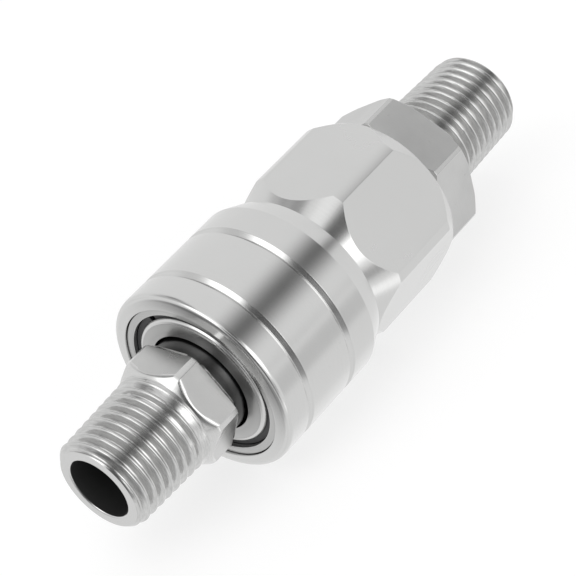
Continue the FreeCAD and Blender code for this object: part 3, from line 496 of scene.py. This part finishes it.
def body_outline(hexagon_r):
    slope = 1 / math.tan(body_bevel_angle)
    back_step = max(hexagon_r - body_half_width, back_least_step)
    foot_x = hexagon_x - (neck_r - foot_r) * slope
    ring_groove_x = lip_x + lip_width
    ring_groove_end_x = ring_groove_x + ring_groove_width
    return eased([
        (throat_x, throat_r), (mouth_x, mouth_r, 0.05),
        *((lip_x + back, body_r - inward, rounding) for back, inward, rounding in lip_rim),
        (ring_groove_x, body_r, 0), (ring_groove_x, ring_groove_r),
        (ring_groove_end_x, ring_groove_r), (ring_groove_end_x, body_r),
        (shoulder_x, body_r), (shoulder_x, neck_r),
        (foot_x - neck_length - foot_fall, neck_r), (foot_x - neck_length, foot_r), (foot_x, foot_r, 0.5),
        (hexagon_x + (hexagon_r - neck_r) * slope, hexagon_r),
        (body_end_x - back_step * slope, hexagon_r), (body_end_x, hexagon_r - back_step),
        (body_end_x, seal_pocket_r), (seal_pocket_x, seal_pocket_r),
        (seal_pocket_x, spigot_bore_r), (spigot_bore_x, spigot_bore_r),
        (spigot_bore_x, chamber_r), (chamber_x, chamber_r), (seat_x, seat_r),
        (nose_bore_end_x, seat_r), (nose_bore_end_x, nose_bore_r),
        (seal_groove_end_x, nose_bore_r), (seal_groove_end_x, seal_groove_r),
        (seal_groove_x, seal_groove_r), (seal_groove_x, nose_bore_r),
        (nose_bore_x, nose_bore_r), (throat_end_x, throat_r)], body_round)


body = lathe(body_outline(body_corner_r))
mill_hexagon(body, body_outline, body_half_width, body_corner_r, 0, body_round,
             before=ROUND_STEPS + 1, after=ROUND_STEPS + 1)
# Darker steel for the lip and the flared mouth: its darker base is painted shade inside the mouth, and its
# clouds and streaks are the plating's tone and tool marks.
shaded_mouth_steel = plated("shaded_mouth_steel", (0.5, 0.5, 0.495), roughness=0.3, cloud=0.25, streak=0.4, size=0.0003)
refinish(body, 3, inside=body_r - 0.45, front=mouth_x - 0.1, back=lip_x + 0.05)
# The body's inside, behind the mouth, is painted near black as painted shade.
refinish(body, 2, inside=throat_r + 0.5, front=mouth_x + 0.03, back=body_end_x)
piece_from(body, "socket_shell", "socket",
           [turned_steel, flat_steel, painted_bore_shade, shaded_mouth_steel], "socket_body")


# Sleeve: a turned ring that slides and turns on the socket body, with a fine satin plate.
# Two V grooves give the fingers grip, the front edge is rounded and the tail tapers.

sleeve_low, sleeve_high = (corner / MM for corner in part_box("sleeve"))
sleeve_x, sleeve_back_x, sleeve_r = sleeve_low.x, sleeve_high.x, sleeve_high.y
sleeve_round, sleeve_edge_ease = 0.9, 0.07
rim_slope = 0.25
tail_x, tail_drop = 36.3, 1.25
tail_flare_r, tail_flare_length = 11.68, 1.3
washer_seat_r = 11.18
spring_bore_r = 11.08
land_x, land_back_x, land_r = 24.47, 27.47, 9.44
release_x, release_r = 21.64, 10.39
groove_places, groove_half, groove_depth = (4.6, 13), 0.55, 0.5
grooves = []
for groove_place in groove_places:
    groove_x = sleeve_x + groove_place
    grooves += [(groove_x - groove_half, sleeve_r), (groove_x, sleeve_r - groove_depth),
                (groove_x + groove_half, sleeve_r)]
sleeve = lathe(eased([
    (sleeve_x, washer_seat_r), (sleeve_x + rim_slope, sleeve_r, sleeve_round), *grooves,
    (tail_x, sleeve_r), (sleeve_back_x, sleeve_r - tail_drop),
    (sleeve_back_x, tail_flare_r), (sleeve_back_x - tail_flare_length, spring_bore_r),
    (land_back_x, spring_bore_r), (land_back_x, land_r), (land_x, land_r),
    (release_x, release_r), (release_x, washer_seat_r)], sleeve_edge_ease))
sleeve_steel = plated("sleeve_steel", (0.66, 0.66, 0.655), roughness=0.18)
piece_from(sleeve, "grip_sleeve", "sleeve", [sleeve_steel], "sleeve")


# Stop washer: it closes the sleeve's front and shows as a light ring round the black snap ring.
# Its recess nests over the snap ring, 1 mm deep.

washer_low, washer_high = (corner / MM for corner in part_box("stop_washer"))
washer_r, washer_ease = washer_high.y, 0.12
recess_x, recess_r = 20.72, 10.13
washer = lathe(eased([
    (washer_low.x, recess_r), (washer_low.x, washer_r), (washer_high.x, washer_r),
    (washer_high.x, land_r), (recess_x, land_r), (recess_x, recess_r)], washer_ease))
washer_steel = plated("washer_steel", (0.56, 0.56, 0.555), roughness=0.26)
piece_from(washer, "washer", "washer", [washer_steel], "stop_washer")


# Adapter: a hexagon nipple screwed into the back of the socket, 19 mm across flats and a shade darker.
# Behind its hexagon lies a plain relief, then the taper thread.

adapter_x, adapter_end_x = (corner.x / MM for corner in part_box("adapter"))
adapter_ease = 0.12
adapter_hexagon_x = body_end_x
adapter_hexagon_length = 7
adapter_hexagon_back_x = adapter_hexagon_x + adapter_hexagon_length
adapter_half_width = 9.5
adapter_face_r = 9.7
adapter_corner_r = 10.8
adapter_bevel, adapter_least_bevel = 0.73, 0.1
adapter_bore_r = 4.2
adapter_turn = 32.5
relief_r = 5.93
adapter_thread_length = 14.4
seal_core_r = 6.9
spigot_r, spigot_lead_x, spigot_lead_r = 7.95, 50.3, 7.15
guide_seat_x, guide_seat_r = 52.1, 5.25


def adapter_lowest(from_tip):
    return relief_r if from_tip > adapter_thread_length else 0


def adapter_highest(from_tip):
    shoulder = relief_r + max(adapter_thread_length - from_tip, 0)
    return min(plug_highest(from_tip), shoulder)


def adapter_outline(hexagon_r):
    beyond_face = max(hexagon_r - adapter_face_r, adapter_least_bevel)
    bevel = adapter_bevel * min(beyond_face / (adapter_corner_r - adapter_face_r), 1)
    face_r = min(adapter_face_r, hexagon_r - adapter_least_bevel)
    return eased([
        (adapter_hexagon_back_x, relief_r), (adapter_hexagon_back_x, face_r),
        (adapter_hexagon_back_x - bevel, hexagon_r), (adapter_hexagon_x + bevel, hexagon_r),
        (adapter_hexagon_x, face_r), (adapter_hexagon_x, seal_core_r),
        (seal_pocket_x, seal_core_r), (seal_pocket_x, spigot_r),
        (spigot_lead_x, spigot_r), (adapter_x, spigot_lead_r),
        (adapter_x, guide_seat_r), (guide_seat_x, adapter_bore_r),
        (adapter_end_x - edge_break, adapter_bore_r), (adapter_end_x, adapter_bore_r + edge_break),
        (adapter_end_x, thread_tip_r)], adapter_ease, closed=False)


adapter = lathe(adapter_outline(adapter_corner_r), closed=False)
mill_hexagon(adapter, adapter_outline, adapter_half_width, adapter_corner_r, adapter_turn, adapter_ease)
add_thread(adapter, adapter_end_x, -1, adapter_end_x - adapter_hexagon_back_x, 0.5,
           adapter_lowest, adapter_highest)
# The adapter's bore is painted near black as painted shade.
refinish(adapter, 3, inside=adapter_bore_r + 0.1, front=adapter_x, back=adapter_end_x - 0.1)
adapter_turned = plated("adapter_turned", (0.56, 0.56, 0.555), roughness=0.24)
adapter_flat = plated("adapter_flat", (0.57, 0.57, 0.565), roughness=0.3, cloud=0.4, speck=0.1,
                      depth=0.000001)
piece_from(adapter, "adapter_nipple", "socket",
           [adapter_turned, adapter_flat, thread_steel, painted_bore_shade], "adapter")


# Springs: three coils of drawn wire with both ends ground flat, one for the sleeve and one for each valve.
# Each stands on the body that carries it.

wire_steel = plated("wire_steel", (0.38, 0.38, 0.38), roughness=0.25)
WIRE_SIDES, COIL_STEPS = 12, 48
springs = [
    # node, body, joint, travel, wire, pitch, whether its front end is the one that moves
    ("sleeve_spring", "socket", "sleeve_slide", 2.8, 1.2, 2.1, True),
    ("plug_spring", "plug", "plug_valve_slide", 1.2, 0.7, 1.35, False),
    ("socket_spring", "socket", "socket_valve_slide", 1.2, 0.9, 1.4, True),
]
for node_name, carrier, joint_name, travel, wire_d, coil_pitch, front_moves in springs:
    spring_low, spring_high = (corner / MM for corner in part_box(node_name))
    length = spring_high.x - spring_low.x
    turns = length / coil_pitch
    steps = round(COIL_STEPS * turns)
    coil = bmesh.new()
    bmesh.ops.create_circle(coil, cap_ends=True, segments=WIRE_SIDES, radius=wire_d / 2)
    bmesh.ops.translate(coil, vec=(spring_low.x, spring_high.y - wire_d / 2, 0), verts=coil.verts)
    wound = bmesh.ops.spin(coil, geom=coil.verts[:] + coil.edges[:], axis=(1, 0, 0),
                           dvec=(length / steps, 0, 0), angle=2 * math.pi * turns, steps=steps)
    last_edges = [item for item in wound["geom_last"] if isinstance(item, bmesh.types.BMEdge)]
    bmesh.ops.contextual_create(coil, geom=last_edges)
    for ground_x, outward in ((spring_low.x, -1), (spring_high.x, 1)):
        bmesh.ops.bisect_plane(coil, geom=coil.verts[:] + coil.edges[:] + coil.faces[:],
                               plane_co=(ground_x, 0, 0), plane_no=(outward, 0, 0), clear_outer=True)
        bmesh.ops.holes_fill(coil, edges=[edge for edge in coil.edges if edge.is_boundary], sides=0)
    piece = piece_from(coil, node_name + "_coil", carrier, [wire_steel], node_name)
    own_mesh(piece)


# Inner pieces and snap rings: they keep their solids and get their real finishes.
# The rings are black, the seals are rubber, the valves bare steel and the balls polished.


def finish(name, color, roughness, metallic, cloud=0.1):
    """A finish for a solid that stays: one colour with an uneven tone."""
    material = plated(name, color, roughness, cloud=cloud)
    material.node_tree.nodes["Principled BSDF"].inputs["Metallic"].default_value = metallic
    return material


finishes = {
    "black_steel": finish("black_oxide", (0.022, 0.022, 0.024), 0.4, 0),
    "nitrile_rubber": finish("nitrile", (0.015, 0.015, 0.015), 0.6, 0),
    "backup_plastic": finish("white_plastic", (0.8, 0.79, 0.76), 0.45, 0),
    "valve_steel": finish("bare_steel", (0.45, 0.45, 0.45), 0.3, 1),
    "ball_steel": finish("bearing_steel", (0.7, 0.7, 0.7), 0.08, 1, 0.02),
}
for part in frame["record"]["subparts"]:
    if part["material_slot"] in finishes:
        node = frame["nodes"][part["node"]]
        node.data.materials.clear()
        node.data.materials.append(finishes[part["material_slot"]])


# Floor: a pale table under the sleeve, evenly lit from within so that only a soft contact shadow stays.
# The steel doesn't mirror it: what the steel shows comes from the light tent.

floor_half_width = 3
floor_grey = 0.3
floor_glow = 0.72
floor_mesh = bpy.data.meshes.new("floor")
floor_bm = bmesh.new()
bmesh.ops.create_grid(floor_bm, x_segments=1, y_segments=1, size=floor_half_width)
bmesh.ops.translate(floor_bm, vec=(0, 0, -sleeve_r * MM), verts=floor_bm.verts)
floor_bm.to_mesh(floor_mesh)
floor_bm.free()
floor = bpy.data.objects.new("floor", floor_mesh)
bpy.context.collection.objects.link(floor)
floor_paint = bpy.data.materials.new("floor_paint")
floor_paint.use_nodes = True
floor_shader = floor_paint.node_tree.nodes["Principled BSDF"]
floor_shader.inputs["Base Color"].default_value = (floor_grey, floor_grey, floor_grey, 1)
floor_shader.inputs["Roughness"].default_value = 1
floor_shader.inputs["Specular IOR Level"].default_value = 0
floor_shader.inputs["Emission Color"].default_value = (1, 1, 1, 1)
floor_shader.inputs["Emission Strength"].default_value = floor_glow
floor_mesh.materials.append(floor_paint)
floor.visible_glossy = False


# Light: an even white tent, with long strips beside the coupler and soft patches round it.
# Directions are an azimuth, 0 at the front and 90 on the right, and a height, in degrees.

tent_brightness = 0.92
strips = [
    # angle about the coupler's axis from its right side upwards, half width, brightness
    (128, 30, 0.17),
    (180, 14, 0.82),
]
strip_from, strip_to = -0.55, -0.35
patch_core = 0.45
patches = [
    # azimuth, height, half width, brightness
    (-165, 50, 30, 0.62), (-178, 54, 12, 0.3),
    (-96, 40, 28, 2.1),
    (-142, 65, 12, 0.35), (-62, 67, 14, 1.15), (-34, 48, 14, 0.07),
    (-112, -18, 34, 0.2), (-95, 0, 24, 0.2), (-84, -30, 20, 0.35),
    (-66, 27, 22, 0.07), (-60, 8, 22, 0.1), (-50, -10, 20, 0.15), (-45, -22, 15, 0.3),
    (-25, 22, 14, 2.2), (-6, 20, 26, 2.2), (-18, -14, 10, 0.4), (-12, -37, 9, 1.5),
    (33, -17, 15, 0.72),
    (112, -56, 24, 1.0),
]


def toward(azimuth, height):
    """The direction at an azimuth and a height."""
    a, h = math.radians(azimuth), math.radians(height)
    return Vector((math.sin(a) * math.cos(h), -math.cos(a) * math.cos(h), math.sin(h)))


def soft_step(tree, value, start, end):
    """Nothing up to the start, all of it from the end on, and a smooth change between."""
    step = tree.nodes.new("ShaderNodeMapRange")
    step.interpolation_type = "SMOOTHSTEP"
    step.inputs["From Min"].default_value = start
    step.inputs["From Max"].default_value = end
    tree.links.new(value, step.inputs["Value"])
    return step.outputs["Result"]


def blend(tree, share, level, brightness):
    """The level with a share of another brightness mixed in."""
    mixed = tree.nodes.new("ShaderNodeMix")
    for name, value in (("Factor", share), ("A", level), ("B", brightness)):
        if isinstance(value, (int, float)):
            mixed.inputs[name].default_value = value
        else:
            tree.links.new(value, mixed.inputs[name])
    return mixed.outputs["Result"]


world = bpy.data.worlds.new("light_tent")
bpy.context.scene.world = world
world.use_nodes = True
sky = world.node_tree
sky.nodes.clear()
way = sky.nodes.new("ShaderNodeTexCoord").outputs["Generated"]
way_parts = sky.nodes.new("ShaderNodeSeparateXYZ")
sky.links.new(way, way_parts.inputs[0])
around_axis = math_node(sky, "ARCTAN2", way_parts.outputs["Z"], way_parts.outputs["Y"])
level = tent_brightness
for angle, half, brightness in strips:
    off = math_node(sky, "ABSOLUTE", math_node(sky, "SUBTRACT", around_axis, math.radians(angle)))
    across = soft_step(sky, off, math.radians(half), 0)
    along = soft_step(sky, way_parts.outputs["X"], strip_from, strip_to)
    share = math_node(sky, "MULTIPLY", across, along)
    level = blend(sky, share, level, brightness)
for azimuth, height, half, brightness in patches:
    facing = sky.nodes.new("ShaderNodeVectorMath")
    facing.operation = "DOT_PRODUCT"
    facing.inputs[1].default_value = toward(azimuth, height)
    sky.links.new(way, facing.inputs[0])
    off = math_node(sky, "ARCCOSINE", facing.outputs["Value"])
    share = soft_step(sky, off, math.radians(half), math.radians(half * patch_core))
    level = blend(sky, share, level, brightness)
seen = sky.nodes.new("ShaderNodeLightPath").outputs["Is Camera Ray"]
background = sky.nodes.new("ShaderNodeBackground")
background.inputs["Color"].default_value = (1, 1, 1, 1)
sky.links.new(blend(sky, seen, level, 1), background.inputs["Strength"])
sky_out = sky.nodes.new("ShaderNodeOutputWorld")
sky.links.new(background.outputs[0], sky_out.inputs["Surface"])

lamp_way, lamp_distance = toward(-60, 75), 0.6
coupler_middle = Vector((0.04, 0, 0))
lamp = bpy.data.lights.new("overhead_panel", "AREA")
lamp.shape = "DISK"
lamp.size = 0.6
lamp.energy = 0.8
overhead = bpy.data.objects.new("overhead_panel", lamp)
overhead.location = coupler_middle + lamp_way * lamp_distance
overhead.rotation_mode = "QUATERNION"
overhead.rotation_quaternion = (-lamp_way).to_track_quat("-Z", "Y")
overhead.visible_glossy = False
bpy.context.collection.objects.link(overhead)


# Camera: from the front left and above, turned a little about its own axis, as the photograph is.
# Its place and its long lens were fitted to the ellipses of the bore, the lip and the sleeve.

camera_azimuth, camera_height, camera_roll = -40.97, 36.48, -18.95
camera_data = bpy.data.cameras.new("camera")
camera_data.lens = 137.5
camera_data.sensor_width = 36
camera_data.clip_start = 0.01
camera = bpy.data.objects.new("camera", camera_data)
camera.location = (-0.105277, -0.163734, 0.160724)
camera.rotation_mode = "QUATERNION"
level_view = (-toward(camera_azimuth, camera_height)).to_track_quat("-Z", "Y")
roll = Matrix.Rotation(math.radians(camera_roll), 3, "Z").to_quaternion()
camera.rotation_quaternion = level_view @ roll
bpy.context.collection.objects.link(camera)
bpy.context.scene.camera = camera
bpy.context.scene.view_settings.view_transform = "Standard"
